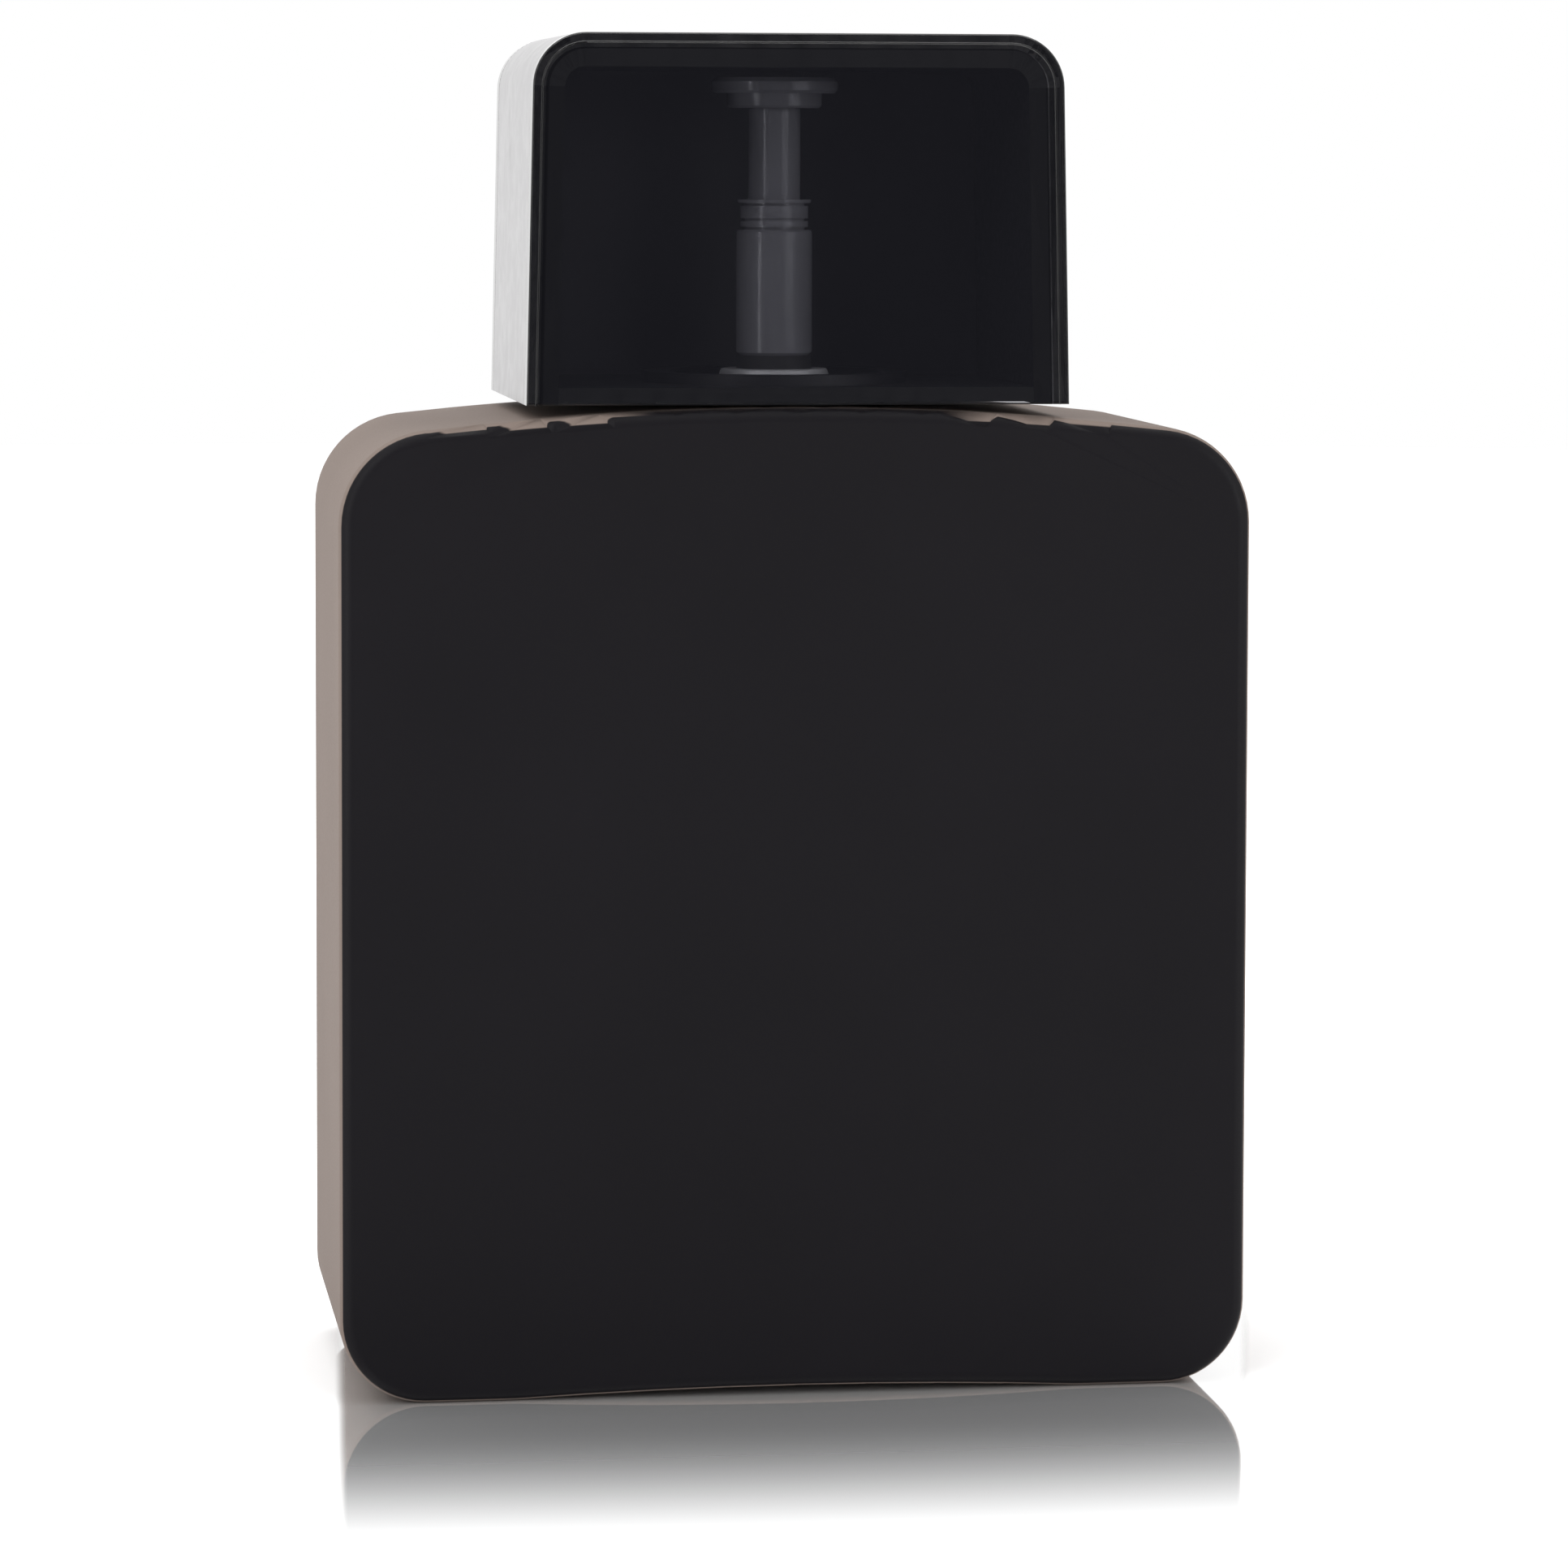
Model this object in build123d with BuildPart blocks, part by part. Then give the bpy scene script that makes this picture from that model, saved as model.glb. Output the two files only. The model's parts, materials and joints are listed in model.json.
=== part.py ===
from build123d import *
import os
from math import sqrt

# A flat flask-shaped aftershave bottle with a pump spray under a lift-off cap.
# Millimetres, +Z up, the front faces -Y, origin at the centre of the base.

# ---------------------------------------------------------------- driving sizes
BODY_WIDTH_BOTTOM = 77.8
BODY_WIDTH_TOP = 77.25
BODY_HEIGHT = 81.3        # at the two sides
SHOULDER_CROWN = 2.6      # extra height of the arched shoulder at the middle
BODY_DEPTH = 34.5
BASE_CORNER = 7.2         # corner radii seen from the front
SHOULDER_CORNER = 8.1
BODY_EDGE = 1.2           # rounding round the front and back faces
BASE_ARCH_HALF = 24.0     # the base is arched between two standing pads
BASE_ARCH_RISE = 0.6

PUSH_UP_WIDTH = 42.0
PUSH_UP_DEPTH = 20.0
PUSH_UP_CORNER = 6.0
PUSH_UP_RISE = 0.9

SIDE_WALL = 5.4
BASE_WALL = 8.0
FACE_WALL = 4.7
CAVITY_TOP = 73.7
CAVITY_CORNER = 5.0
CAVITY_EDGE = 3.0

CAP_GAP = 0.3             # between the shoulder's crown and the cap
CAP_HEIGHT = 30.9
CAP_WIDTH_BOTTOM = 45.9
CAP_WIDTH_TOP = 44.5
CAP_DEPTH = 33.5
CAP_CORNER = 4.5

PANEL = 2.1               # smoked front and back panels
PANEL_CHAMFER = 0.12
BEAD_INSET = 0.7          # fine raised line round the sides and top of each panel's face
BEAD_WIDTH = 0.18
BEAD_HEIGHT = 0.06
BAND = 1.2                # silver side band
BAND_CHAMFER = 0.15
FRAME = 1.6               # inner frame's wall

RUNNING = 0.03            # radial clearance of sliding fits
TOUCH = 0.05              # clearance between faces that meet but move apart

# ---------------------------------------------------------------- worked-out heights
CROWN_TOP = BODY_HEIGHT + SHOULDER_CROWN
CAP_BOTTOM = CROWN_TOP + CAP_GAP
CAP_TOP = CAP_BOTTOM + CAP_HEIGHT

WELL_RADIUS = 10.6
WELL_FLOOR = 78.9
NECK_RADIUS = 6.4
NECK_BORE = 4.9
BEAD_RADIUS = 7.4
BEAD_BOTTOM = 80.3
BEAD_TOP = 83.3
GASKET_TOP = BEAD_TOP + 0.6
FLANGE_TOP = GASKET_TOP + 0.8
FERRULE_SHEET = 0.35
FERRULE_TOP = FLANGE_TOP + FERRULE_SHEET
HUB_RADIUS = 4.9
HUB_TOP = 86.7
COLLAR_RADIUS = 10.2
COLLAR_TOP = 85.75

BARREL_RADIUS = 3.3
BARREL_BOTTOM = 87.85
BARREL_TOP = 98.6
WAIST_RADIUS = 2.95
CHAMBER_RADIUS = 2.6
STEM_RADIUS = 2.25
GLAND_RADIUS = 2.95
GLAND_TOP = 101.2
GLAND_PLUG_BOTTOM = 97.1
GLAND_GROOVE = 0.25
BUTTON_BOTTOM = 109.0
BUTTON_STEP = 110.25
BUTTON_TOP = 111.6
BUTTON_STEP_RADIUS = 4.1
BUTTON_RADIUS = 5.5

PISTON_TOP = GLAND_PLUG_BOTTOM - 0.2
PISTON_BOTTOM = PISTON_TOP - 2.6
PISTON_SEAT = PISTON_BOTTOM + 1.0
STEM_CHANNEL = 0.6
OUTLET_BALL = 0.8
INLET_SEAT = 75.7
INLET_BALL = 1.2
CAGE_BOTTOM = INLET_SEAT + 2.9
CAGE_TOP = CAGE_BOTTOM + 1.0
SPRING_WIRE = 0.25
SPRING_RADIUS = 2.05
SPRING_TURNS = 10
TUBE_RADIUS = 1.4
TUBE_BORE = 0.8
TUBE_SOCKET_TOP = 74.3
TUBE_FOOT = BASE_WALL + 0.8
NIPPLE_BOTTOM = 69.8
NOZZLE_HEIGHT = (BUTTON_STEP + BUTTON_TOP) / 2


def turned_face(points):
    """Closed (radius, height) outline, ready to revolve about the vertical axis."""
    with BuildSketch(Plane.XZ) as section:
        with BuildLine():
            Polyline(*points, close=True)
        make_face()
    return section.sketch


def body_half_width(height):
    """Half the flask's width, which narrows a little towards its shoulder."""
    share = height / BODY_HEIGHT
    return (BODY_WIDTH_BOTTOM * (1 - share) + BODY_WIDTH_TOP * share) / 2


def body_outline(inset, bottom, top):
    """Front view of the flask, drawn in by an inset, with its arched shoulder."""
    low = body_half_width(bottom) - inset
    high = body_half_width(top) - inset
    with BuildSketch(Plane.XZ) as outline:
        with BuildLine():
            Polyline((-high, top), (-low, bottom), (low, bottom), (high, top))
            ThreePointArc((high, top), (0, top + SHOULDER_CROWN), (-high, top))
        make_face()
    return outline.sketch


def cap_half_width(height):
    """Half the cap's width, which narrows a little towards its top."""
    share = (height - CAP_BOTTOM) / CAP_HEIGHT
    return (CAP_WIDTH_BOTTOM * (1 - share) + CAP_WIDTH_TOP * share) / 2


def cap_outline(inset, bottom=CAP_BOTTOM):
    """Front view of the cap, drawn in by an inset, down to the height given."""
    top = CAP_TOP - inset
    wide = cap_half_width(bottom) - inset
    narrow = cap_half_width(top) - inset
    with BuildSketch(Plane.XZ) as outline:
        with BuildLine():
            Polyline((-wide, bottom), (wide, bottom), (narrow, top), (-narrow, top), close=True)
        make_face()
        fillet(outline.vertices().group_by(Axis.Y)[-1], CAP_CORNER - inset)
    return outline.sketch


# ---------------------------------------------------------------- glass bottle
with BuildPart() as cavity:
    with BuildSketch(Plane.XZ):
        add(body_outline(SIDE_WALL, BASE_WALL, CAVITY_TOP - SHOULDER_CROWN))
    extrude(amount=BODY_DEPTH / 2 - FACE_WALL, both=True)
    fillet(cavity.edges().filter_by(Axis.Y), CAVITY_CORNER)
    fillet(cavity.faces().filter_by(Axis.Y).edges(), CAVITY_EDGE)

with BuildPart() as glass_bottle:
    with BuildSketch(Plane.XZ):
        add(body_outline(0, 0, BODY_HEIGHT))
    extrude(amount=BODY_DEPTH / 2, both=True)
    upright_edges = glass_bottle.edges().filter_by(Axis.Y)
    fillet(upright_edges.filter_by_position(Axis.Z, BODY_HEIGHT - TOUCH, BODY_HEIGHT + TOUCH), SHOULDER_CORNER)
    upright_edges = glass_bottle.edges().filter_by(Axis.Y)
    fillet(upright_edges.filter_by_position(Axis.Z, -TOUCH, TOUCH), BASE_CORNER)
    # Arch in the base, open to the front and back, between the two pads that the glass stands on.
    with BuildSketch(Plane.XZ):
        with BuildLine():
            ThreePointArc((-BASE_ARCH_HALF, 0), (0, BASE_ARCH_RISE), (BASE_ARCH_HALF, 0))
            Line((BASE_ARCH_HALF, 0), (-BASE_ARCH_HALF, 0))
        make_face()
    extrude(amount=BODY_DEPTH / 2, both=True, mode=Mode.SUBTRACT)
    fillet(glass_bottle.faces().filter_by(Axis.Y).edges(), BODY_EDGE)
    add(cavity.part, mode=Mode.SUBTRACT)
    # Well in the shoulder, which lets the pump's fitting sit low.
    well = [(0, WELL_FLOOR), (WELL_RADIUS, WELL_FLOOR), (WELL_RADIUS, CAP_BOTTOM), (0, CAP_BOTTOM)]
    revolve(turned_face(well), axis=Axis.Z, mode=Mode.SUBTRACT)
    # Neck with the bead that the ferrule is crimped under.
    neck = [
        (0, WELL_FLOOR - 2),
        (NECK_RADIUS, WELL_FLOOR - 2),
        (NECK_RADIUS, BEAD_BOTTOM - 0.5),
        (BEAD_RADIUS, BEAD_BOTTOM),
        (BEAD_RADIUS, BEAD_TOP - 0.4),
        (BEAD_RADIUS - 0.4, BEAD_TOP),
        (0, BEAD_TOP),
    ]
    revolve(turned_face(neck), axis=Axis.Z)
    bore = [(0, CAVITY_TOP - 2), (NECK_BORE, CAVITY_TOP - 2), (NECK_BORE, BEAD_TOP), (0, BEAD_TOP)]
    revolve(turned_face(bore), axis=Axis.Z, mode=Mode.SUBTRACT)
    # Push-up inside the arch.
    with BuildSketch(Plane.XY):
        RectangleRounded(PUSH_UP_WIDTH, PUSH_UP_DEPTH, PUSH_UP_CORNER)
    extrude(amount=PUSH_UP_RISE, mode=Mode.SUBTRACT)

# ---------------------------------------------------------------- neck fitting
with BuildPart() as neck_gasket:
    with BuildSketch(Plane.XY.offset(BEAD_TOP)):
        Circle(BEAD_RADIUS - 0.3)
        Circle(NECK_BORE - 1.0, mode=Mode.SUBTRACT)
    extrude(amount=GASKET_TOP - BEAD_TOP)

FERRULE_RADIUS = BEAD_RADIUS + 0.1 + FERRULE_SHEET
HUB_BORE = BARREL_RADIUS + 0.05
with BuildPart() as crimp_ferrule:
    ferrule = [
        (HUB_BORE, FLANGE_TOP),
        (FERRULE_RADIUS - FERRULE_SHEET, FLANGE_TOP),
        (FERRULE_RADIUS - FERRULE_SHEET, BEAD_BOTTOM - 0.15),
        (NECK_RADIUS + 0.15, BEAD_BOTTOM - 0.65),
        (NECK_RADIUS + 0.15, BEAD_BOTTOM - 1.0),
        (FERRULE_RADIUS - 0.2, BEAD_BOTTOM - 0.6),
        (FERRULE_RADIUS, BEAD_BOTTOM - 0.2),
        (FERRULE_RADIUS, FERRULE_TOP - 0.2),
        (FERRULE_RADIUS - 0.2, FERRULE_TOP),
        (HUB_RADIUS, FERRULE_TOP),
        (HUB_RADIUS, COLLAR_TOP),
        (HUB_RADIUS - 0.3, HUB_TOP - 0.1),
        (HUB_RADIUS - 0.4, HUB_TOP),
        (HUB_BORE, HUB_TOP),
    ]
    revolve(turned_face(ferrule), axis=Axis.Z)

with BuildPart() as collar:
    collar_section = [
        (HUB_RADIUS + 0.1, COLLAR_TOP - 0.6),
        (HUB_RADIUS + 0.1, COLLAR_TOP),
        (COLLAR_RADIUS - 0.3, COLLAR_TOP),
        (COLLAR_RADIUS, COLLAR_TOP - 0.3),
        (COLLAR_RADIUS, WELL_FLOOR + 0.2),
        (COLLAR_RADIUS - 0.9, WELL_FLOOR + 0.2),
        (COLLAR_RADIUS - 0.9, COLLAR_TOP - 0.9),
        (FERRULE_RADIUS + 0.75, COLLAR_TOP - 0.9),
        (FERRULE_RADIUS + 0.75, WELL_FLOOR + 1.4),
        (FERRULE_RADIUS + 0.05, WELL_FLOOR + 1.4),
        (FERRULE_RADIUS + 0.05, COLLAR_TOP - 0.6),
    ]
    revolve(turned_face(collar_section), axis=Axis.Z)

# ---------------------------------------------------------------- pump, fixed half
with BuildPart() as pump_housing:
    housing = [
        (CHAMBER_RADIUS, BARREL_TOP),
        (BARREL_RADIUS - 0.15, BARREL_TOP),
        (BARREL_RADIUS, BARREL_TOP - 0.15),
        (BARREL_RADIUS, BARREL_BOTTOM + 0.25),
        (BARREL_RADIUS - 0.25, BARREL_BOTTOM),
        (WAIST_RADIUS, BARREL_BOTTOM),
        (WAIST_RADIUS, HUB_TOP),
        (BARREL_RADIUS, HUB_TOP),
        (BARREL_RADIUS, FLANGE_TOP),
        (BEAD_RADIUS - 0.3, FLANGE_TOP),
        (BEAD_RADIUS - 0.3, GASKET_TOP),
        (BARREL_RADIUS + 0.4, GASKET_TOP),
        (BARREL_RADIUS + 0.4, INLET_SEAT),
        (TUBE_RADIUS + 0.7, TUBE_SOCKET_TOP - 1),
        (TUBE_RADIUS + 0.7, NIPPLE_BOTTOM),
        (TUBE_RADIUS, NIPPLE_BOTTOM),
        (TUBE_RADIUS, TUBE_SOCKET_TOP),
        (0.9, TUBE_SOCKET_TOP),
        (0.9, INLET_SEAT),
        (INLET_BALL + 0.25, INLET_SEAT),
        (INLET_BALL + 0.25, CAGE_BOTTOM),
        (CHAMBER_RADIUS, CAGE_BOTTOM),
    ]
    revolve(turned_face(housing), axis=Axis.Z)

with BuildPart() as barrel_seal:
    with BuildSketch(Plane.XY.offset(HUB_TOP)):
        Circle(BARREL_RADIUS - 0.1)
        Circle(WAIST_RADIUS, mode=Mode.SUBTRACT)
    extrude(amount=BARREL_BOTTOM - HUB_TOP)

with BuildPart() as gland_nut:
    gland = [
        (STEM_RADIUS + RUNNING, GLAND_PLUG_BOTTOM),
        (CHAMBER_RADIUS, GLAND_PLUG_BOTTOM),
        (CHAMBER_RADIUS, BARREL_TOP),
        (GLAND_RADIUS, BARREL_TOP),
        (GLAND_RADIUS, GLAND_TOP - 0.3),
        (GLAND_RADIUS + 0.25, GLAND_TOP - 0.3),
        (GLAND_RADIUS + 0.25, GLAND_TOP),
        (STEM_RADIUS + RUNNING, GLAND_TOP),
    ]
    revolve(turned_face(gland), axis=Axis.Z)
    for groove_bottom in (BARREL_TOP, BARREL_TOP + 0.75, GLAND_TOP - 0.55):
        with BuildSketch(Plane.XY.offset(groove_bottom)):
            Circle(GLAND_RADIUS + 0.1)
            Circle(GLAND_RADIUS - 0.3, mode=Mode.SUBTRACT)
        extrude(amount=GLAND_GROOVE, mode=Mode.SUBTRACT)
    # Seat for the wiper ring.
    with BuildSketch(Plane.XY.offset(BARREL_TOP + 1.4)):
        Circle(CHAMBER_RADIUS)
    extrude(amount=0.6, mode=Mode.SUBTRACT)

with BuildPart() as stem_wiper:
    with BuildSketch(Plane.XY.offset(BARREL_TOP + 1.4)):
        Circle(CHAMBER_RADIUS)
        Circle(STEM_RADIUS + RUNNING, mode=Mode.SUBTRACT)
    extrude(amount=0.6)

with BuildPart() as ball_cage:
    with BuildSketch(Plane.XY.offset(CAGE_BOTTOM)):
        Circle(CHAMBER_RADIUS)
        Circle(0.5, mode=Mode.SUBTRACT)
        with PolarLocations(1.25, 3):
            Circle(0.35, mode=Mode.SUBTRACT)
    extrude(amount=CAGE_TOP - CAGE_BOTTOM)

with BuildPart() as dip_tube:
    with BuildSketch(Plane.XY.offset(TUBE_FOOT)):
        Circle(TUBE_RADIUS)
        Circle(TUBE_BORE, mode=Mode.SUBTRACT)
    extrude(amount=TUBE_SOCKET_TOP - TUBE_FOOT)
    # The foot is cut on the slant, so that it can't seal against the glass.
    split(bisect_by=Plane(origin=(0, 0, TUBE_FOOT + TUBE_RADIUS), z_dir=(-0.6, 0, 1)), keep=Keep.TOP)

inlet_rest = INLET_SEAT + sqrt(INLET_BALL**2 - 0.9**2) + RUNNING
with BuildPart() as inlet_ball:
    with Locations((0, 0, inlet_rest)):
        Sphere(INLET_BALL)

# ---------------------------------------------------------------- pump, moving half
with BuildPart() as piston:
    piston_section = [
        (STEM_CHANNEL, PISTON_BOTTOM),
        (CHAMBER_RADIUS - RUNNING, PISTON_BOTTOM),
        (CHAMBER_RADIUS - RUNNING, PISTON_BOTTOM + 0.6),
        (CHAMBER_RADIUS - 0.25, PISTON_BOTTOM + 0.9),
        (CHAMBER_RADIUS - 0.25, PISTON_TOP - 0.9),
        (CHAMBER_RADIUS - RUNNING, PISTON_TOP - 0.6),
        (CHAMBER_RADIUS - RUNNING, PISTON_TOP),
        (1.5, PISTON_TOP),
        (1.5, PISTON_SEAT),
        (STEM_CHANNEL, PISTON_SEAT),
    ]
    revolve(turned_face(piston_section), axis=Axis.Z)

STEM_SPIGOT = 1.8
with BuildPart() as stem:
    ball_room = OUTLET_BALL + 0.1
    ball_ceiling = PISTON_SEAT + 2.5
    stem_section = [
        (ball_room, PISTON_SEAT),
        (1.5, PISTON_SEAT),
        (1.5, PISTON_TOP),
        (STEM_RADIUS, PISTON_TOP),
        (STEM_RADIUS, BUTTON_BOTTOM - TOUCH),
        (STEM_SPIGOT, BUTTON_BOTTOM - TOUCH),
        (STEM_SPIGOT, BUTTON_STEP),
        (STEM_CHANNEL, BUTTON_STEP),
        (STEM_CHANNEL, ball_ceiling),
        (ball_room, ball_ceiling),
    ]
    revolve(turned_face(stem_section), axis=Axis.Z)

outlet_rest = PISTON_SEAT + sqrt(OUTLET_BALL**2 - STEM_CHANNEL**2) + RUNNING
with BuildPart() as outlet_ball:
    with Locations((0, 0, outlet_rest)):
        Sphere(OUTLET_BALL)

with BuildPart() as return_spring:
    coil_bottom = CAGE_TOP + SPRING_WIRE
    coil_height = PISTON_BOTTOM - SPRING_WIRE - TOUCH - coil_bottom
    with BuildLine(Plane.XY.offset(coil_bottom)) as coil:
        Helix(coil_height / SPRING_TURNS, coil_height, SPRING_RADIUS)
    with BuildSketch(coil.line ^ 0):
        Circle(SPRING_WIRE)
    sweep(path=coil.line, is_frenet=True)

NOZZLE_RADIUS = 0.55
NOZZLE_LENGTH = 1.3
# With the cap on, the button is turned so that its nozzle points to the back.
NOZZLE_SEAT = Plane.XZ.offset(NOZZLE_LENGTH - BUTTON_RADIUS)
with BuildPart() as spray_button:
    button_section = [
        (0, BUTTON_STEP + TOUCH),
        (STEM_SPIGOT + RUNNING, BUTTON_STEP + TOUCH),
        (STEM_SPIGOT + RUNNING, BUTTON_BOTTOM),
        (BUTTON_STEP_RADIUS - 0.2, BUTTON_BOTTOM),
        (BUTTON_STEP_RADIUS, BUTTON_BOTTOM + 0.2),
        (BUTTON_STEP_RADIUS, BUTTON_STEP),
        (BUTTON_RADIUS - 0.25, BUTTON_STEP),
        (BUTTON_RADIUS, BUTTON_STEP + 0.25),
        (BUTTON_RADIUS, BUTTON_TOP - 0.35),
        (BUTTON_RADIUS - 0.35, BUTTON_TOP),
        (0, BUTTON_TOP),
    ]
    revolve(turned_face(button_section), axis=Axis.Z)
    # Shallow dish for the fingertip.
    dish_radius = 22.0
    with Locations((0, 0, BUTTON_TOP + dish_radius - 0.35)):
        Sphere(dish_radius, mode=Mode.SUBTRACT)
    # Channel to the nozzle and the nozzle's own seat, in the rim.
    with BuildSketch(Plane.XZ):
        with Locations((0, NOZZLE_HEIGHT)):
            Circle(0.25)
    extrude(amount=-BUTTON_RADIUS, mode=Mode.SUBTRACT)
    with BuildSketch(NOZZLE_SEAT):
        with Locations((0, NOZZLE_HEIGHT)):
            Circle(NOZZLE_RADIUS)
    extrude(amount=-NOZZLE_LENGTH, mode=Mode.SUBTRACT)

with BuildPart() as nozzle_insert:
    with BuildSketch(NOZZLE_SEAT):
        with Locations((0, NOZZLE_HEIGHT)):
            Circle(NOZZLE_RADIUS)
            Circle(0.15, mode=Mode.SUBTRACT)
    extrude(amount=0.1 - NOZZLE_LENGTH)

# ---------------------------------------------------------------- cap
PANEL_INNER = CAP_DEPTH / 2 - PANEL
BAND_INNER = BAND + FRAME
BACK_WALL = 1.5


def end_edges(part, side):
    """The outline edges of the part's foremost (-1) or rearmost (1) face."""
    return part.faces().filter_by(Axis.Y).sort_by(Axis.Y)[0 if side < 0 else -1].edges()


with BuildPart() as cap_front_panel:
    with BuildSketch(Plane.XZ.offset(PANEL_INNER)):
        add(cap_outline(0))
    extrude(amount=PANEL - BEAD_HEIGHT)
    chamfer(end_edges(cap_front_panel, -1), PANEL_CHAMFER)
    bead_end = BEAD_INSET + BEAD_WIDTH - BEAD_HEIGHT
    with BuildSketch(Plane.XZ.offset(CAP_DEPTH / 2 - BEAD_HEIGHT)):
        add(cap_outline(BEAD_INSET, CAP_BOTTOM - 1))
    extrude(amount=BEAD_HEIGHT, taper=45)
    with BuildSketch(Plane.XZ.offset(CAP_DEPTH / 2)):
        add(cap_outline(bead_end, CAP_BOTTOM - 2))
    extrude(amount=-BEAD_HEIGHT, taper=45, mode=Mode.SUBTRACT)
    # The line's two legs end at the panel's lower edge.
    split(bisect_by=Plane.XY.offset(CAP_BOTTOM), keep=Keep.TOP)

with BuildPart() as cap_back_panel:
    add(cap_front_panel.part.mirror(Plane.XZ))

with BuildPart() as cap_side_band:
    with BuildSketch(Plane.XZ):
        add(cap_outline(0))
    extrude(amount=PANEL_INNER, both=True)
    for side in (-1, 1):
        chamfer(end_edges(cap_side_band, side), BAND_CHAMFER)
    with BuildSketch(Plane.XZ):
        add(cap_outline(BAND, CAP_BOTTOM - 1))
    extrude(amount=PANEL_INNER, both=True, mode=Mode.SUBTRACT)

with BuildPart() as cap_frame:
    with BuildSketch(Plane.XZ):
        add(cap_outline(BAND))
        add(cap_outline(BAND_INNER, CAP_BOTTOM - 1), mode=Mode.SUBTRACT)
    extrude(amount=PANEL_INNER, both=True)
    with BuildSketch(Plane.XZ.offset(-PANEL_INNER)):
        add(cap_outline(BAND))
    extrude(amount=BACK_WALL)

PLATE_BOTTOM = CAP_BOTTOM + 0.2
PLATE_TOP = PLATE_BOTTOM + 1.2
SOCKET_RADIUS = 11.4
SOCKET_BORE = COLLAR_RADIUS + RUNNING
LIP_BORE = COLLAR_RADIUS - 0.8
GRIP_BOTTOM = PLATE_BOTTOM + 0.4
GRIP_TOP = GRIP_BOTTOM + 0.5
GRIP_RADIUS = SOCKET_BORE + 0.6
with BuildPart() as cap_base_plate:
    with BuildSketch(Plane.XZ.offset(PANEL_INNER)):
        with BuildLine():
            low = cap_half_width(PLATE_BOTTOM) - BAND_INNER
            high = cap_half_width(PLATE_TOP) - BAND_INNER
            Polyline(
                (-low, PLATE_BOTTOM),
                (low, PLATE_BOTTOM),
                (high, PLATE_TOP),
                (-high, PLATE_TOP),
                close=True,
            )
        make_face()
    extrude(amount=BACK_WALL - 2 * PANEL_INNER)
    # Socket that slides down over the collar and stops on its top.
    with BuildSketch(Plane.XY.offset(PLATE_BOTTOM)):
        Circle(SOCKET_RADIUS)
    extrude(amount=COLLAR_TOP + TOUCH + 0.7 - PLATE_BOTTOM)
    with BuildSketch(Plane.XY.offset(PLATE_BOTTOM)):
        Circle(LIP_BORE)
    extrude(amount=3, mode=Mode.SUBTRACT)
    with BuildSketch(Plane.XY.offset(PLATE_BOTTOM)):
        Circle(SOCKET_BORE)
    extrude(amount=COLLAR_TOP + TOUCH - PLATE_BOTTOM, mode=Mode.SUBTRACT)
    with BuildSketch(Plane.XY.offset(GRIP_BOTTOM)):
        Circle(GRIP_RADIUS)
    extrude(amount=GRIP_TOP - GRIP_BOTTOM, mode=Mode.SUBTRACT)

with BuildPart() as cap_grip_ring:
    with BuildSketch(Plane.XY.offset(GRIP_BOTTOM)):
        Circle(GRIP_RADIUS)
        Circle(SOCKET_BORE, mode=Mode.SUBTRACT)
    extrude(amount=GRIP_TOP - GRIP_BOTTOM)

# ---------------------------------------------------------------- files
PIECES = {
    "glass_bottle": glass_bottle,
    "neck_gasket": neck_gasket,
    "crimp_ferrule": crimp_ferrule,
    "collar": collar,
    "pump_housing": pump_housing,
    "barrel_seal": barrel_seal,
    "gland_nut": gland_nut,
    "stem_wiper": stem_wiper,
    "ball_cage": ball_cage,
    "dip_tube": dip_tube,
    "inlet_ball": inlet_ball,
    "piston": piston,
    "stem": stem,
    "outlet_ball": outlet_ball,
    "return_spring": return_spring,
    "spray_button": spray_button,
    "nozzle_insert": nozzle_insert,
    "cap_front_panel": cap_front_panel,
    "cap_back_panel": cap_back_panel,
    "cap_side_band": cap_side_band,
    "cap_frame": cap_frame,
    "cap_base_plate": cap_base_plate,
    "cap_grip_ring": cap_grip_ring,
}

os.makedirs("parts", exist_ok=True)
for node, piece in PIECES.items():
    piece.part.label = node
    export_step(piece.part, f"parts/{node}.step")
print("capacity in ml:", round(cavity.part.volume / 1000, 1))
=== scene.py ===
import json
import math
import bmesh
import bpy
from mathutils import Matrix, Vector


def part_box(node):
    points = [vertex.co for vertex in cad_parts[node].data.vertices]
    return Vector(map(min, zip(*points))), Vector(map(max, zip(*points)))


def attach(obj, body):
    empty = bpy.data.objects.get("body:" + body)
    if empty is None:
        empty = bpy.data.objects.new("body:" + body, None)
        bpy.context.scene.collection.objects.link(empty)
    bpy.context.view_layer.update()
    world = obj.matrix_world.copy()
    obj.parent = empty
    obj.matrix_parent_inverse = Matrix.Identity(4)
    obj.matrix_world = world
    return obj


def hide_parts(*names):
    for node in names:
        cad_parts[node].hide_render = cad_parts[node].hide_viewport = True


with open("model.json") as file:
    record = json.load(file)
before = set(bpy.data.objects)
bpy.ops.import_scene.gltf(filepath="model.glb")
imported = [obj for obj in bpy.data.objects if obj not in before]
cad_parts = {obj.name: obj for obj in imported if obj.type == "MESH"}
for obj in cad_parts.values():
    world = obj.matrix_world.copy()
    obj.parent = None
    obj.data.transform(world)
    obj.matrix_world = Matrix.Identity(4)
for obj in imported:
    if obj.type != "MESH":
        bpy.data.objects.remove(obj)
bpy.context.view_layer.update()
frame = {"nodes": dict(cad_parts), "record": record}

MM = 0.001
nodes = frame["nodes"]
body_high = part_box("glass_bottle")[1]
cap_low, cap_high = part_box("cap_front_panel")


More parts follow.
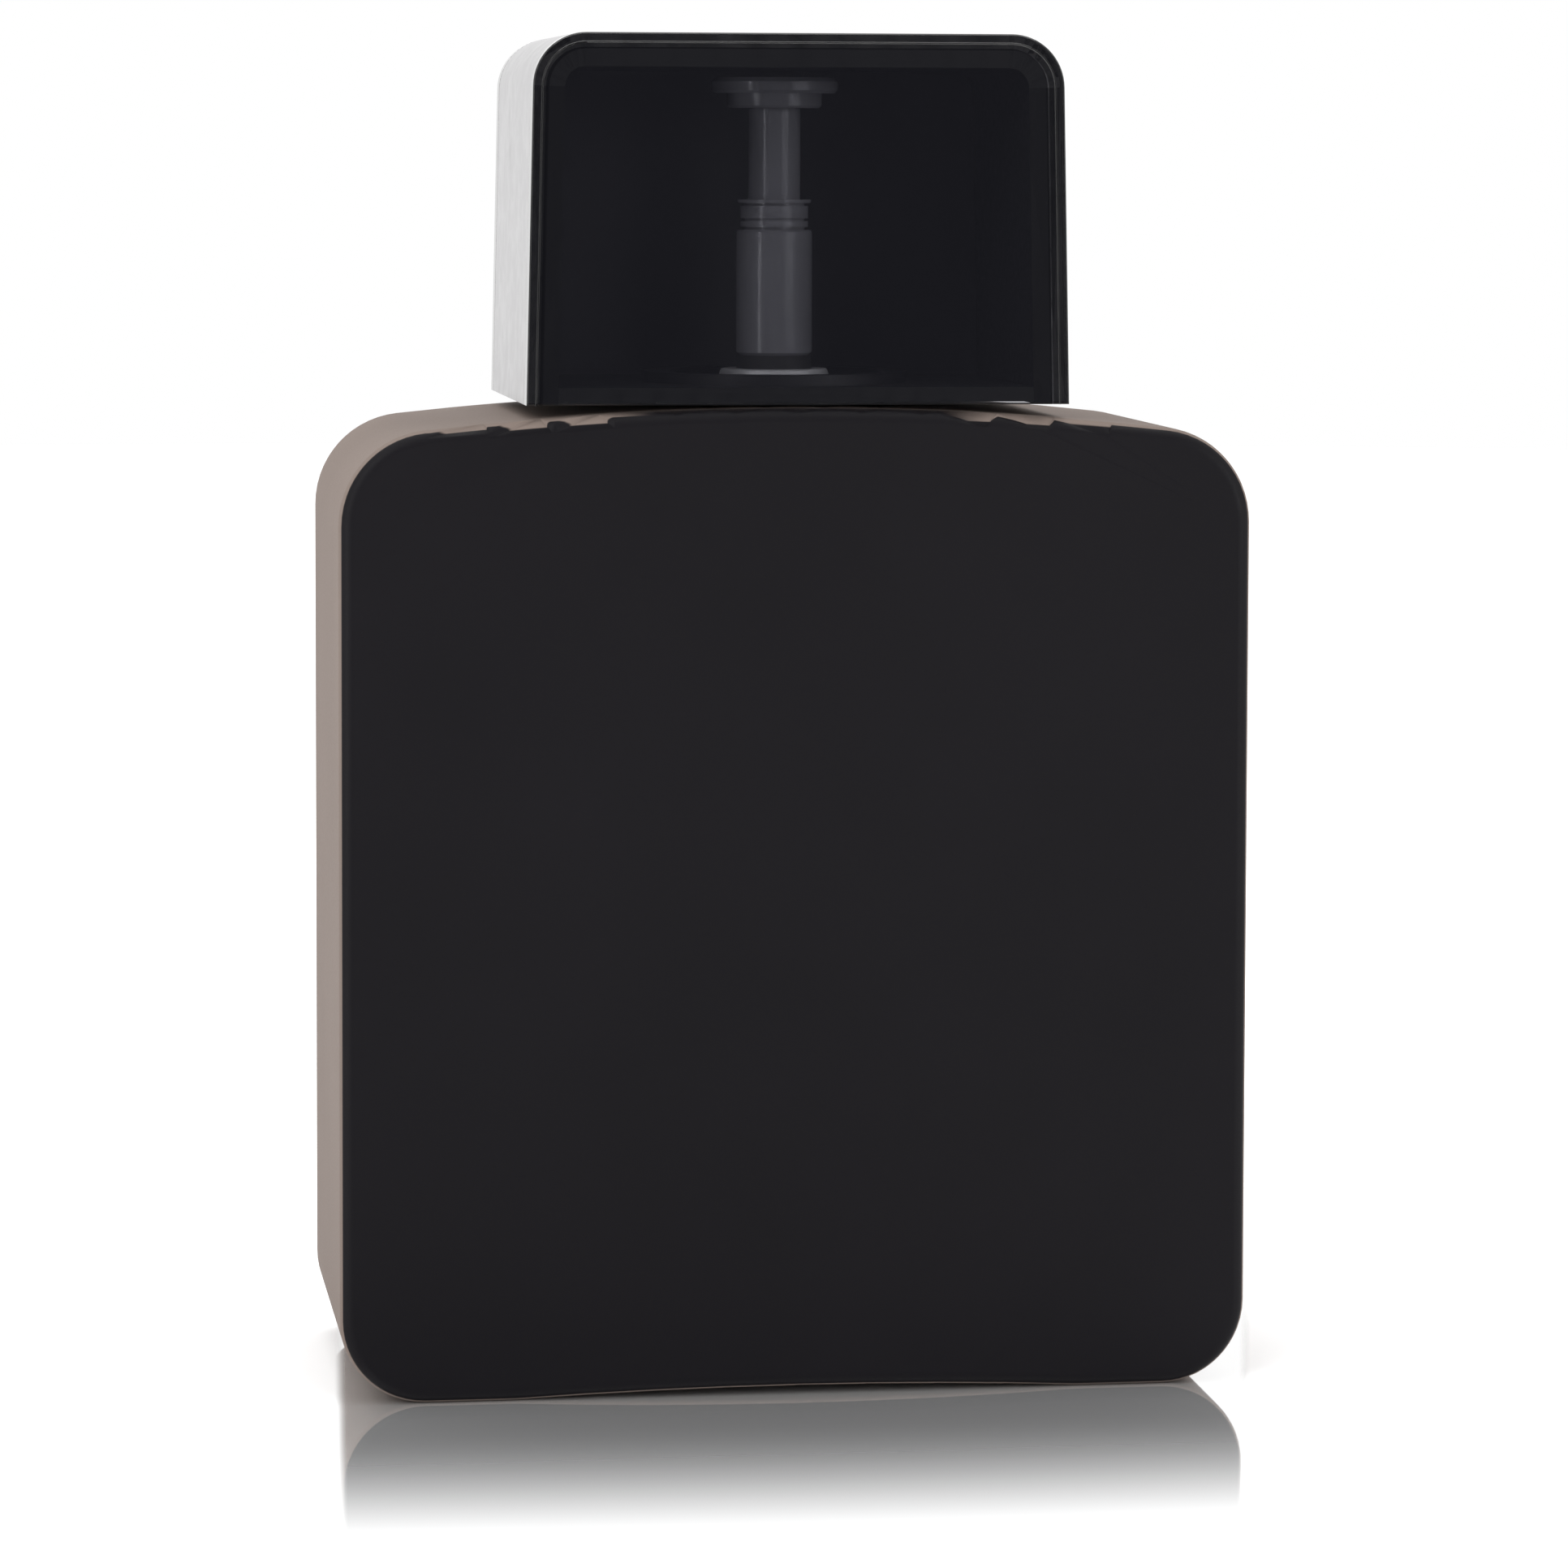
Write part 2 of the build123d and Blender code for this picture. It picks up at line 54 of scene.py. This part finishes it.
# ---------------------------------------------------------------- node helpers
def feed(tree, value, in_socket):
    """A number or colour is set on the socket, and another node's output is linked to it."""
    if isinstance(value, bpy.types.NodeSocket):
        tree.links.new(value, in_socket)
    else:
        in_socket.default_value = value


def mix_colors(tree, share, a, b):
    """Colour a where share is 0, and colour b where it is 1."""
    node = tree.nodes.new("ShaderNodeMix")
    node.data_type = "RGBA"
    color_inputs = {socket.name: socket for socket in node.inputs if socket.type == "RGBA"}
    feed(tree, share, node.inputs["Factor"])
    feed(tree, a, color_inputs["A"])
    feed(tree, b, color_inputs["B"])
    return next(socket for socket in node.outputs if socket.type == "RGBA")


class Graph:
    """A material's node tree, with short calls to add nodes and join them."""

    def __init__(self, name):
        self.material = bpy.data.materials.new(name)
        self.material.use_nodes = True
        self.tree = self.material.node_tree
        self.tree.nodes.clear()
        self.output = self.add("ShaderNodeOutputMaterial")

    def add(self, kind, **settings):
        node = self.tree.nodes.new(kind)
        for key, value in settings.items():
            setattr(node, key, value)
        return node

    def link(self, out_socket, in_socket):
        self.tree.links.new(out_socket, in_socket)

    def feed(self, value, in_socket):
        feed(self.tree, value, in_socket)

    def position(self):
        return self.add("ShaderNodeTexCoord").outputs["Object"]

    def math(self, operation, a, b=0.0):
        node = self.add("ShaderNodeMath", operation=operation)
        self.feed(a, node.inputs[0])
        self.feed(b, node.inputs[1])
        return node.outputs[0]

    def ramp(self, value, low, high, out_low=0.0, out_high=1.0):
        """A smooth step from out_low to out_high as the value goes from low to high."""
        node = self.add("ShaderNodeMapRange", interpolation_type="SMOOTHSTEP")
        for socket, number in zip(node.inputs, (value, low, high, out_low, out_high)):
            self.feed(number, socket)
        return node.outputs["Result"]

    def mix(self, share, a, b):
        return mix_colors(self.tree, share, a, b)

    def noise(self, scale, detail=2.0, roughness=0.5, stretch=(1, 1, 1)):
        mapping = self.add("ShaderNodeMapping")
        mapping.inputs["Scale"].default_value = stretch
        self.link(self.position(), mapping.inputs["Vector"])
        node = self.add("ShaderNodeTexNoise")
        self.link(mapping.outputs["Vector"], node.inputs["Vector"])
        node.inputs["Scale"].default_value = scale
        node.inputs["Detail"].default_value = detail
        node.inputs["Roughness"].default_value = roughness
        return node.outputs["Fac"]

    def bump(self, height, strength, distance):
        node = self.add("ShaderNodeBump")
        node.inputs["Strength"].default_value = strength
        node.inputs["Distance"].default_value = distance
        self.link(height, node.inputs["Height"])
        return node.outputs["Normal"]

    def principled(self, **values):
        node = self.add("ShaderNodeBsdfPrincipled")
        for key, value in values.items():
            self.feed(value, node.inputs[key.replace("_", " ")])
        return node

    def finish(self, shader):
        self.link(shader.outputs[0], self.output.inputs["Surface"])
        return self.material


def grey(level, alpha=1.0):
    return (level, level, level, alpha)


# ---------------------------------------------------------------- materials
LACQUER_LAP = 0.50 * MM      # how far the black runs round the rounded edge of each face
LACQUER_EDGE = 0.05 * MM     # half the width of the step from black to taupe
CAP_SHADE_DEPTH = 4.5 * MM   # and how far painted shade reaches in at the top of the shoulder, under the cap: the cap's shadow and its dark underside mirrored there
CAP_SHADE_HALF = 12 * MM     # it is full over this half width and gone at the next
CAP_SHADE_FADE = 17 * MM
CAP_SHADE_LOW = 0.90         # it fades in between these shares of the bottle's height
CAP_SHADE_HIGH = 0.95


def lacquered_glass():
    """Satin black on the front and back faces, matt taupe round the sides and shoulder, and painted shade on
    the top of the shoulder under the cap.
    """
    g = Graph("lacquered_glass")
    place = g.add("ShaderNodeSeparateXYZ")
    g.link(g.position(), place.inputs[0])
    from_face = g.math("SUBTRACT", body_high.y, g.math("ABSOLUTE", place.outputs["Y"]))
    # Painted shade: the top of the shoulder is darkened under the cap, for the cap's shadow and its dark
    # underside mirrored there.
    cap_shade_across = g.ramp(g.math("ABSOLUTE", place.outputs["X"]), CAP_SHADE_HALF, CAP_SHADE_FADE, 1.0, 0.0)
    cap_shade_near_top = g.ramp(place.outputs["Z"], CAP_SHADE_LOW * body_high.z, CAP_SHADE_HIGH * body_high.z)
    cap_shade_across = g.math("MULTIPLY", cap_shade_across, cap_shade_near_top)
    sharp = g.ramp(from_face, LACQUER_LAP - LACQUER_EDGE, LACQUER_LAP + LACQUER_EDGE, 1.0, 0.0)
    cap_shade_from_face = g.ramp(from_face, LACQUER_LAP, CAP_SHADE_DEPTH, 1.0, 0.0)
    # One share holds both the black paint on the faces and the painted shade under the cap.
    black_paint_and_cap_shade_share = g.math("MAXIMUM", sharp, g.math("MULTIPLY", cap_shade_across, cap_shade_from_face))
    blotch = g.noise(38, 3, 0.55)
    black = g.mix(blotch, (0.0028, 0.0024, 0.0034, 1), (0.0052, 0.0045, 0.0060, 1))
    taupe = g.mix(blotch, (0.145, 0.113, 0.097, 1), (0.180, 0.144, 0.125, 1))
    color = g.mix(black_paint_and_cap_shade_share, taupe, black)
    fine = g.noise(5200, 2, 0.6)
    rough = g.math("ADD", g.ramp(fine, 0.3, 0.7, -0.05, 0.05), g.ramp(black_paint_and_cap_shade_share, 0.0, 1.0, 0.68, 0.50))
    normal = g.bump(fine, 0.10, 0.02 * MM)
    return g.finish(g.principled(Base_Color=color, Roughness=rough, Normal=normal, IOR=1.2))


CAP_CORNER = 4.5 * MM
CAP_TAPER = 0.0227           # how fast each side of the cap draws in with height
RIM_WIDTH = 1.3 * MM         # the panels are blacked out behind their rims, over the ends of the band
RIM_EDGE = 0.1 * MM


def cap_depth_inside(g):
    """How far a point is inside the cap's front outline, as a negative distance."""
    place = g.add("ShaderNodeSeparateXYZ")
    g.link(g.position(), place.inputs[0])
    drawn_in = g.math("MULTIPLY", g.math("SUBTRACT", place.outputs["Z"], cap_low.z), CAP_TAPER)
    across = g.math("ADD", g.math("ABSOLUTE", place.outputs["X"]), drawn_in)
    across = g.math("SUBTRACT", across, cap_high.x - CAP_CORNER)
    above = g.math("SUBTRACT", place.outputs["Z"], cap_high.z - CAP_CORNER)
    corner = g.math(
        "SQRT",
        g.math(
            "ADD",
            g.math("POWER", g.math("MAXIMUM", across, 0.0), 2.0),
            g.math("POWER", g.math("MAXIMUM", above, 0.0), 2.0),
        ),
    )
    inner = g.math("MINIMUM", g.math("MAXIMUM", across, above), 0.0)
    return g.math("SUBTRACT", g.math("ADD", corner, inner), CAP_CORNER)


def smoked_acrylic():
    """Polished, almost black, and just clear enough to show the pump behind it."""
    g = Graph("smoked_acrylic")
    streak = g.noise(26, 2, 0.5, (1, 1, 0.4))
    clear = g.mix(streak, (0.285, 0.285, 0.298, 1), (0.305, 0.305, 0.320, 1))
    rim_share = g.ramp(cap_depth_inside(g), -RIM_WIDTH - RIM_EDGE, -RIM_WIDTH)
    color = g.mix(rim_share, clear, grey(0.02))
    rough = g.ramp(g.noise(900, 2), 0.35, 0.65, 0.02, 0.04)
    glass = g.principled(Base_Color=color, Roughness=rough, IOR=1.49, Transmission_Weight=1.0)
    shade = g.add("ShaderNodeBsdfTransparent")
    g.feed((0.92, 0.92, 0.93, 1), shade.inputs["Color"])
    rays = g.add("ShaderNodeLightPath")
    mixed = g.add("ShaderNodeMixShader")
    g.link(rays.outputs["Is Shadow Ray"], mixed.inputs[0])
    g.link(glass.outputs[0], mixed.inputs[1])
    g.link(shade.outputs[0], mixed.inputs[2])
    return g.finish(mixed)


def silver_band():
    """Pale satin silver with a fine mottle."""
    g = Graph("silver_band")
    mottle = g.noise(420, 4, 0.65)
    cloud = g.noise(90, 3, 0.6)
    light = g.mix(mottle, (0.33, 0.327, 0.33, 1), (0.46, 0.453, 0.46, 1))
    color = g.mix(g.ramp(cloud, 0.62, 0.8), light, (0.29, 0.287, 0.29, 1))
    rough = g.ramp(mottle, 0.3, 0.7, 0.30, 0.44)
    normal = g.bump(mottle, 0.12, 0.03 * MM)
    return g.finish(g.principled(Base_Color=color, Metallic=0.85, Roughness=rough, Normal=normal))


def metal(name, level, rough_low, rough_high, scale, metallic=1.0):
    """Plain grey metal with a fine grain drawn out along Z."""
    g = Graph(name)
    grain = g.noise(scale, 3, 0.6, (1, 1, 6))
    color = g.mix(grain, grey(level * 0.92), grey(level))
    rough = g.ramp(grain, 0.3, 0.7, rough_low, rough_high)
    return g.finish(g.principled(Base_Color=color, Metallic=metallic, Roughness=rough))


def plastic(name, low, high, roughness, scale=1800, bump=0.08):
    """Moulded plastic or rubber between two close shades, with a fine grain."""
    g = Graph(name)
    grain = g.noise(scale, 3, 0.6)
    color = g.mix(g.noise(120, 2), low, high)
    rough = g.ramp(grain, 0.3, 0.7, roughness - 0.05, roughness + 0.05)
    normal = g.bump(grain, bump, 0.02 * MM)
    return g.finish(g.principled(Base_Color=color, Roughness=rough, Normal=normal))


finishes = {
    "lacquered_glass": lacquered_glass(),
    "smoked_acrylic": smoked_acrylic(),
    "silver_band": silver_band(),
    "polished_aluminium": metal("polished_aluminium", 0.97, 0.40, 0.50, 700, 0.45),
    "steel": metal("steel", 0.62, 0.2, 0.3, 900),
    "grey_plastic": plastic("grey_plastic", (0.22, 0.22, 0.236, 1), (0.26, 0.26, 0.278, 1), 0.12),
    "black_plastic": plastic("black_plastic", (0.0035, 0.0035, 0.004, 1), (0.005, 0.005, 0.0058, 1), 0.5),
    "smoke_plastic": plastic("smoke_plastic", (0.0065, 0.0065, 0.0075, 1), (0.0085, 0.0085, 0.0095, 1), 0.5),
    "seal_rubber": plastic("seal_rubber", (0.02, 0.02, 0.02, 1), (0.035, 0.035, 0.035, 1), 0.7, 900, 0.2),
    "clear_tube": plastic("clear_tube", (0.72, 0.74, 0.75, 1), (0.80, 0.82, 0.83, 1), 0.3),
}
for entry in frame["record"]["subparts"]:
    mesh = nodes[entry["node"]].data
    mesh.materials.clear()
    mesh.materials.append(finishes[entry["material_slot"]])


# ---------------------------------------------------------------- glass with extra cuts across its shoulder
SHOULDER_HALF = 38.625 * MM    # the shoulder is one arc over this half width
SHOULDER_RISE = 2.6 * MM
SHOULDER_RADIUS = (SHOULDER_HALF**2 + SHOULDER_RISE**2) / (2 * SHOULDER_RISE)
SHOULDER_REACH = 31.4 * MM     # the arc runs out to here, where the corners begin
FACE_ROUNDING = 1.2 * MM       # round the front and back faces
SHOULDER_STEP = 1.2 * MM       # between the cuts across it
ON_SHOULDER = 0.12 * MM        # only points closer than this to the true shoulder are moved onto it
MERGE_GAP = 0.0001 * MM
CUT_SNAP = 0.001 * MM
SHARP_ANGLE = math.radians(35)
FLAT_WEIGHT = 100              # how strongly large flat faces set the shading at their edges


def shoulder_point(co):
    """The nearest point on the true shoulder, or None where that is not close by."""
    centre = body_high.z - SHOULDER_RADIUS
    past_flat = max(abs(co.y) - (body_high.y - FACE_ROUNDING), 0.0)
    true_distance = SHOULDER_RADIUS - FACE_ROUNDING + math.sqrt(max(FACE_ROUNDING**2 - past_flat**2, 0.0))
    distance = math.hypot(co.x, co.z - centre)
    if abs(co.x) > SHOULDER_REACH or abs(distance - true_distance) > ON_SHOULDER:
        return None
    scale = true_distance / distance
    return Vector((co.x * scale, co.y, centre + (co.z - centre) * scale))


def even_shoulder():
    """The glass bottle again, with extra cuts across its shoulder. Facets off the true arch stay flat."""
    work = bmesh.new()
    work.from_mesh(nodes["glass_bottle"].data)
    bmesh.ops.remove_doubles(work, verts=work.verts, dist=MERGE_GAP)
    reach = int(SHOULDER_REACH / SHOULDER_STEP)
    for i in range(-reach, reach + 1):
        faces = [f for f in work.faces if all(shoulder_point(v.co) for v in f.verts)]
        edges = {e for f in faces for e in f.edges}
        verts = {v for f in faces for v in f.verts}
        bmesh.ops.bisect_plane(
            work,
            geom=list(verts) + list(edges) + faces,
            dist=CUT_SNAP,
            plane_co=(i * SHOULDER_STEP, 0, 0),
            plane_no=(1, 0, 0),
        )
    for vert in work.verts:
        vert.co = shoulder_point(vert.co) or vert.co
    bmesh.ops.triangulate(work, faces=[f for f in work.faces if len(f.verts) > 4])
    mesh = bpy.data.meshes.new("glass_shell")
    work.to_mesh(mesh)
    work.free()
    mesh.shade_smooth()
    mesh.set_sharp_from_angle(angle=SHARP_ANGLE)
    mesh.materials.clear()
    mesh.materials.append(finishes["lacquered_glass"])
    shell = bpy.data.objects.new("glass_shell", mesh)
    bpy.context.scene.collection.objects.link(shell)
    weighted = shell.modifiers.new("flat_faces_first", "WEIGHTED_NORMAL")
    weighted.keep_sharp = True
    weighted.weight = FLAT_WEIGHT
    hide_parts("glass_bottle")
    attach(shell, "bottle")


even_shoulder()


# ---------------------------------------------------------------- floor
FLOOR_RADIUS = 1.6
FLOOR_SIDES = 96
POLISH_START = 10 * MM     # in front of and behind the object the polish fades out between these distances
POLISH_END = 64 * MM
POLISH_MARGIN = 0.6 * MM   # and at its sides over this much
POLISH_SHARE = 0.74        # how much of the light a fully polished spot mirrors
# The strip's two sides run toward the camera's place over the floor, so they fit that one view only.
POLISH_TOWARD_CAMERA = (-0.0686, -0.4988)


def table_top():
    """Plain white, with a polished strip under the object that fades out in front of it and behind it.

    Its sides follow the front camera's lines of sight, so it shows as a wedge in other views.
    """
    g = Graph("table_top")
    place = g.add("ShaderNodeSeparateXYZ")
    g.link(g.position(), place.inputs[0])
    ahead = g.math("SUBTRACT", g.math("ABSOLUTE", place.outputs["Y"]), body_high.y)
    meet_x, meet_y = POLISH_TOWARD_CAMERA
    reach = -body_high.y - meet_y
    slope = g.math(
        "DIVIDE",
        g.math("SUBTRACT", place.outputs["X"], meet_x),
        g.math("SUBTRACT", place.outputs["Y"], meet_y),
    )
    off_middle = g.math("ABSOLUTE", g.math("ADD", slope, meet_x / reach))
    aside = g.math("MULTIPLY", g.math("SUBTRACT", off_middle, body_high.x / reach), reach)
    polish_share = g.math(
        "MULTIPLY",
        g.ramp(ahead, POLISH_START, POLISH_END, 1.0, 0.0),
        g.ramp(aside, -POLISH_MARGIN, POLISH_MARGIN, 1.0, 0.0),
    )
    paper = g.mix(polish_share, grey(0.93), grey(0.52))
    white = g.principled(Base_Color=paper, Roughness=0.5, Specular_IOR_Level=0.0)
    polish = g.add("ShaderNodeBsdfGlossy")
    g.feed(grey(0.98), polish.inputs["Color"])
    g.feed(0.04, polish.inputs["Roughness"])
    mixed = g.add("ShaderNodeMixShader")
    g.link(g.math("MULTIPLY", polish_share, POLISH_SHARE), mixed.inputs[0])
    g.link(white.outputs[0], mixed.inputs[1])
    g.link(polish.outputs[0], mixed.inputs[2])
    return g.finish(mixed)


def studio_floor():
    """A round pale table top."""
    mesh = bpy.data.meshes.new("studio_floor")
    turns = [2 * math.pi * i / FLOOR_SIDES for i in range(FLOOR_SIDES)]
    rim = [(FLOOR_RADIUS * math.cos(t), FLOOR_RADIUS * math.sin(t), 0) for t in turns]
    mesh.from_pydata(rim, [], [tuple(range(FLOOR_SIDES))])
    mesh.materials.append(table_top())
    floor = bpy.data.objects.new("studio_floor", mesh)
    bpy.context.scene.collection.objects.link(floor)


studio_floor()


# ---------------------------------------------------------------- light
def softbox(name, place, aim, width, height, power):
    """A rectangular lamp at a place, facing the point that it is aimed at."""
    lamp = bpy.data.lights.new(name, "AREA")
    lamp.shape = "RECTANGLE"
    lamp.size = width
    lamp.size_y = height
    lamp.energy = power
    box = bpy.data.objects.new(name, lamp)
    box.location = place
    box.rotation_euler = (Vector(aim) - Vector(place)).to_track_quat("-Z", "Y").to_euler()
    bpy.context.scene.collection.objects.link(box)


middle = (0, 0, 0.06)
softbox("key_box", (-0.55, -0.65, 0.62), middle, 0.5, 0.4, 2.7)
softbox("fill_box", (0.60, -0.70, 0.24), middle, 0.5, 0.36, 3.0)
softbox("strip_box", (-0.32, -0.25, 0.06), (0, 0, 0.09), 0.06, 0.12, 0.25)
softbox("top_box", (0, 0.10, 1.1), middle, 1.4, 1.2, 7)


def studio_world(backdrop, room, *dark_areas):
    """White backdrop and a bright room with softly edged dark areas in it."""
    world = bpy.data.worlds.new("studio_world")
    bpy.context.scene.world = world
    world.use_nodes = True
    tree = world.node_tree
    paper = tree.nodes["Background"]
    direction = tree.nodes.new("ShaderNodeTexCoord").outputs["Generated"]
    level = grey(room)
    for centre, inner, outer, dark in dark_areas:
        toward = tree.nodes.new("ShaderNodeVectorMath")
        toward.operation = "DOT_PRODUCT"
        tree.links.new(direction, toward.inputs[0])
        toward.inputs[1].default_value = Vector(centre).normalized()
        share = tree.nodes.new("ShaderNodeMapRange")
        share.interpolation_type = "SMOOTHSTEP"
        tree.links.new(toward.outputs["Value"], share.inputs["Value"])
        share.inputs["From Min"].default_value = math.cos(math.radians(outer))
        share.inputs["From Max"].default_value = math.cos(math.radians(inner))
        level = mix_colors(tree, share.outputs["Result"], level, dark)
    rays = tree.nodes.new("ShaderNodeLightPath")
    seen = mix_colors(tree, rays.outputs["Is Camera Ray"], level, grey(backdrop))
    tree.links.new(seen, paper.inputs["Color"])
    paper.inputs["Strength"].default_value = 1.0


# Each dark area: its direction, the angles in degrees where it is full and where it ends, and its colour.
DARK_FRONT = ((0.1, -1, 0), 25, 55, (0.165, 0.165, 0.210, 1))
DARK_FLAG = ((0.78, 0.62, 0), 12, 30, grey(0.10))
studio_world(1.0, 1.2, DARK_FRONT, DARK_FLAG)
bpy.context.scene.view_settings.view_transform = "Standard"


# ---------------------------------------------------------------- camera
FOCAL_LENGTH = 133.37      # mm on a 36 mm sensor
CAMERA_TURN = 0.13885      # to the object's left, in radians
CAMERA_TILT = 0.10846      # downward
CAMERA_ROLL = 0.00281
CAMERA_DISTANCE = 0.50665
CAMERA_TARGET = Vector((0.00109, 0, 0.05046))

forward = Vector((
    math.sin(CAMERA_TURN) * math.cos(CAMERA_TILT),
    math.cos(CAMERA_TURN) * math.cos(CAMERA_TILT),
    -math.sin(CAMERA_TILT),
))
level_right = Vector((math.cos(CAMERA_TURN), -math.sin(CAMERA_TURN), 0))
level_up = level_right.cross(forward)
right = level_right * math.cos(CAMERA_ROLL) + level_up * math.sin(CAMERA_ROLL)
up = level_up * math.cos(CAMERA_ROLL) - level_right * math.sin(CAMERA_ROLL)
camera = bpy.data.objects.new("camera", bpy.data.cameras.new("camera"))
camera.data.lens = FOCAL_LENGTH
camera.data.sensor_width = 36
camera.data.clip_start = 0.01
camera.matrix_world = Matrix.Translation(CAMERA_TARGET - forward * CAMERA_DISTANCE) @ Matrix(
    (right, up, -forward)
).transposed().to_4x4()
bpy.context.scene.collection.objects.link(camera)
bpy.context.scene.camera = camera
